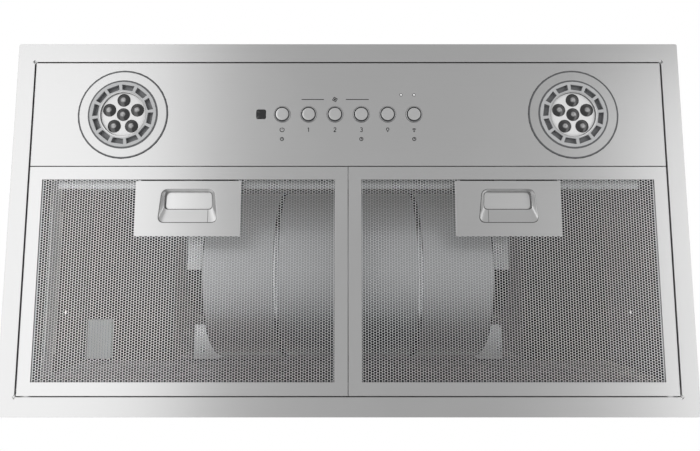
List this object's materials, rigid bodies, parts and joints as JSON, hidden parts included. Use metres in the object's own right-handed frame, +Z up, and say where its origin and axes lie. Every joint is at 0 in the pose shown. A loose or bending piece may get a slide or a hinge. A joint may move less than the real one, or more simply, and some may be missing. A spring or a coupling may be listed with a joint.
{
  "type": "range hood insert",
  "caption": "Built-in range hood insert: flat stainless face with a push-button panel, LED lamps, perforated grease filters on hinges, twin blower and round duct collar with damper.",
  "frame": {"origin": "middle of the bounding box's underside, on the lowest face of the stainless face frame", "axes": "+X to the right for a person standing at the cooker, +Y to the wall behind, +Z up as installed"},
  "size_m": [0.724, 0.398, 0.294],
  "materials": {
    "stainless_face": "brushed stainless, grain left to right",
    "filter_stainless": "brushed stainless, folded sheet",
    "perforated_stainless": "perforated stainless sheet",
    "bright_trim": "polished",
    "galvanised": "galvanised sheet",
    "zinc_steel": "zinc plated",
    "lamp_cast": "light grey, satin",
    "lamp_lens": "dark, glossy",
    "button_steel": "stainless cap, fine brushed",
    "window_black": "black, glossy",
    "indicator_clear": "smoked clear",
    "board_green": "circuit board",
    "module_black": "black, matte",
    "switch_black": "black, matte",
    "brass_standoff": "plain",
    "white_plastic": "white, satin",
    "wheel_steel": "galvanised",
    "shaft_steel": "ground steel",
    "motor_grey": "dark grey, satin",
    "capacitor_grey": "pale grey",
    "spring_steel": "spring steel",
    "damper_aluminium": "plain sheet"
  },
  "bodies": {
    "hood": {"face_frame": "stainless_face", "canopy_front_wall": "galvanised", "canopy_rear_wall": "galvanised", "canopy_wall_right": "galvanised", "canopy_wall_left": "galvanised", "front_partition": "galvanised", "front_catch_rail": "galvanised", "ceiling_plate": "galvanised", "control_panel": "stainless_face", "sensor_window": "window_black", "indicator_lights": "indicator_clear", "control_board": "board_green", "board_standoffs": "brass_standoff", "power_module": "module_black", "button_bezels": "bright_trim", "push_switches": "switch_black", "lamp_trim_rings": "bright_trim", "lamp_cans": "galvanised", "lamp_bodies": "lamp_cast", "lamp_lenses": "lamp_lens", "filter_hinge_staples": "zinc_steel", "blower_box_front": "galvanised", "blower_box_sides": "galvanised", "blower_box_rear": "galvanised", "blower_box_top": "galvanised", "duct_collar": "galvanised", "damper_rod": "shaft_steel", "scroll_wrapper": "galvanised", "scroll_ends": "galvanised", "motor_dividers": "galvanised", "motor_housing": "motor_grey", "motor_mounts": "zinc_steel", "motor_capacitor": "capacitor_grey", "junction_box": "galvanised", "junction_box_cover": "galvanised", "wire_cover": "white_plastic", "top_screws": "zinc_steel"},
    "button_1": {"button_1": "button_steel"},
    "button_2": {"button_2": "button_steel"},
    "button_3": {"button_3": "button_steel"},
    "button_4": {"button_4": "button_steel"},
    "button_5": {"button_5": "button_steel"},
    "button_6": {"button_6": "button_steel"},
    "filter_right": {"filter_frame_right": "filter_stainless", "filter_mesh_right": "perforated_stainless", "filter_handle_right": "filter_stainless", "latch_guide_right": "zinc_steel", "latch_springs_right": "spring_steel"},
    "latch_right": {"latch_right": "zinc_steel"},
    "filter_left": {"filter_frame_left": "filter_stainless", "filter_mesh_left": "perforated_stainless", "filter_handle_left": "filter_stainless", "latch_guide_left": "zinc_steel", "latch_springs_left": "spring_steel"},
    "latch_left": {"latch_left": "zinc_steel"},
    "fan_rotor": {"motor_shaft": "shaft_steel", "fan_wheel_right": "wheel_steel", "fan_wheel_left": "wheel_steel"},
    "damper_front": {"damper_flap_front": "damper_aluminium"},
    "damper_rear": {"damper_flap_rear": "damper_aluminium"}
  },
  "joints": [
    {"name": "button_1_press", "type": "slide", "parent": "hood", "child": "button_1", "axis": [0, 0, 1], "range_m": [0, 0.0015], "stiffness_N_per_m": 600},
    {"name": "button_2_press", "type": "slide", "parent": "hood", "child": "button_2", "axis": [0, 0, 1], "range_m": [0, 0.0015], "stiffness_N_per_m": 600},
    {"name": "button_3_press", "type": "slide", "parent": "hood", "child": "button_3", "axis": [0, 0, 1], "range_m": [0, 0.0015], "stiffness_N_per_m": 600},
    {"name": "button_4_press", "type": "slide", "parent": "hood", "child": "button_4", "axis": [0, 0, 1], "range_m": [0, 0.0015], "stiffness_N_per_m": 600},
    {"name": "button_5_press", "type": "slide", "parent": "hood", "child": "button_5", "axis": [0, 0, 1], "range_m": [0, 0.0015], "stiffness_N_per_m": 600},
    {"name": "button_6_press", "type": "slide", "parent": "hood", "child": "button_6", "axis": [0, 0, 1], "range_m": [0, 0.0015], "stiffness_N_per_m": 600},
    {"name": "filter_right_tilt", "type": "hinge", "parent": "hood", "child": "filter_right", "pos_m": [0, 0.1747, 0.0037], "axis": [1, 0, 0], "range_deg": [0, 70]},
    {"name": "latch_right_slide", "type": "slide", "parent": "filter_right", "child": "latch_right", "axis": [0, 1, 0], "range_m": [0, 0.006], "stiffness_N_per_m": 400, "springref_m": -0.002, "deforming": ["latch_springs_right"]},
    {"name": "filter_left_tilt", "type": "hinge", "parent": "hood", "child": "filter_left", "pos_m": [0, 0.1747, 0.0037], "axis": [1, 0, 0], "range_deg": [0, 70]},
    {"name": "latch_left_slide", "type": "slide", "parent": "filter_left", "child": "latch_left", "axis": [0, 1, 0], "range_m": [0, 0.006], "stiffness_N_per_m": 400, "springref_m": -0.002, "deforming": ["latch_springs_left"]},
    {"name": "fan_spin", "type": "hinge", "parent": "hood", "child": "fan_rotor", "pos_m": [0, 0.05, 0.136], "axis": [1, 0, 0], "continuous": true},
    {"name": "damper_front_swing", "type": "hinge", "parent": "hood", "child": "damper_front", "pos_m": [0, 0.082, 0.2696], "axis": [-1, 0, 0], "range_deg": [0, 80]},
    {"name": "damper_rear_swing", "type": "hinge", "parent": "hood", "child": "damper_rear", "pos_m": [0, 0.082, 0.2696], "axis": [1, 0, 0], "range_deg": [0, 80]}
  ]
}
